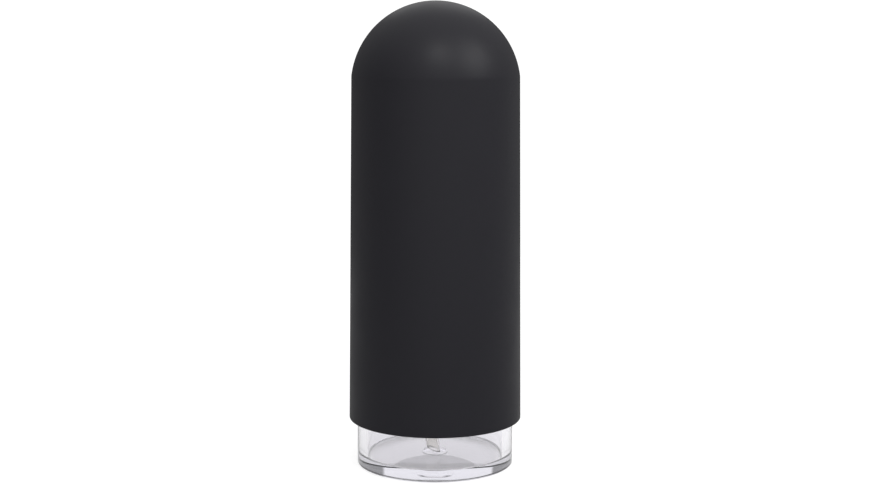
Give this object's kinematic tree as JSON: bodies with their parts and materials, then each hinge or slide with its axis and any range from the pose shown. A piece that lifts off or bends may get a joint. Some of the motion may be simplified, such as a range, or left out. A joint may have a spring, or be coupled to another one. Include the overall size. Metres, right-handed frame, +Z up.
{
  "type": "soap dispenser",
  "caption": "Press-top soap dispenser: a matte black domed cover over a clear cup is the button of the lotion pump inside, with a short bent spout.",
  "frame": {"origin": "middle of the cup's flat underside, on the central axis of cup, pump and cover", "axes": "+Z up along the central axis, +Y towards the spout"},
  "size_m": [0.0762, 0.0904, 0.2039],
  "materials": {
    "black_cover": "moulded ABS with a fine matte, slightly bluish black surface",
    "clear_cup": "clear injection-moulded styrene acrylonitrile, polished",
    "black_fittings": "satin moulded polypropylene",
    "natural_plastic": "uncoloured, milky moulded polypropylene",
    "white_foam": "closed-cell polyethylene foam",
    "dark_rubber": "dark grey silicone",
    "spring_steel": "drawn stainless steel"
  },
  "bodies": {
    "cup": {"reservoir_cup": "clear_cup"},
    "lid": {"shoulder_lid": "black_fittings", "lid_seal": "dark_rubber"},
    "pump": {"pump_housing": "natural_plastic", "stem_guide": "natural_plastic", "neck_gasket": "white_foam", "ball_cage": "natural_plastic", "return_spring": "spring_steel", "dip_tube": "natural_plastic"},
    "collar": {"closure_collar": "black_fittings"},
    "inlet_ball": {"inlet_ball": "spring_steel"},
    "piston": {"piston": "natural_plastic"},
    "stem": {"stem": "natural_plastic", "piston_rod": "natural_plastic"},
    "outlet_ball": {"outlet_ball": "spring_steel"},
    "cover": {"cover_shell": "black_cover", "head_carrier": "black_fittings", "actuator_head": "black_fittings", "spout": "black_fittings", "spout_tip": "dark_rubber"}
  },
  "joints": [
    {"name": "lid_lift", "type": "slide", "parent": "cup", "child": "lid", "axis": [0, 0, 1], "range_m": [0, 0.11]},
    {"name": "pump_lift", "type": "slide", "parent": "lid", "child": "pump", "axis": [0, 0, 1], "range_m": [0, 0.00945]},
    {"name": "collar_turn", "type": "hinge", "parent": "pump", "child": "collar", "pos_m": [0, 0, 0.1148], "axis": [0, 0, 1], "range_deg": [0, 810]},
    {"name": "inlet_ball_lift", "type": "slide", "parent": "pump", "child": "inlet_ball", "axis": [0, 0, 1], "range_m": [0, 0.0015]},
    {"name": "press", "type": "slide", "parent": "pump", "child": "piston", "axis": [0, 0, -1], "range_m": [0, 0.013], "stiffness_N_per_m": 400, "springref_m": -0.01, "deforming": ["return_spring"]},
    {"name": "swivel", "type": "hinge", "parent": "piston", "child": "stem", "pos_m": [0, 0, 0.124], "axis": [0, 0, 1], "continuous": true},
    {"name": "outlet_ball_lift", "type": "slide", "parent": "stem", "child": "outlet_ball", "axis": [0, 0, 1], "range_m": [0, 0.0015]},
    {"name": "cover_lift", "type": "slide", "parent": "stem", "child": "cover", "axis": [0, 0, 1], "range_m": [0, 0.16]}
  ],
  "couplings": [
    {"joint": "pump_lift", "follows": "collar_turn", "m_per_rad": 0.00066845}
  ]
}
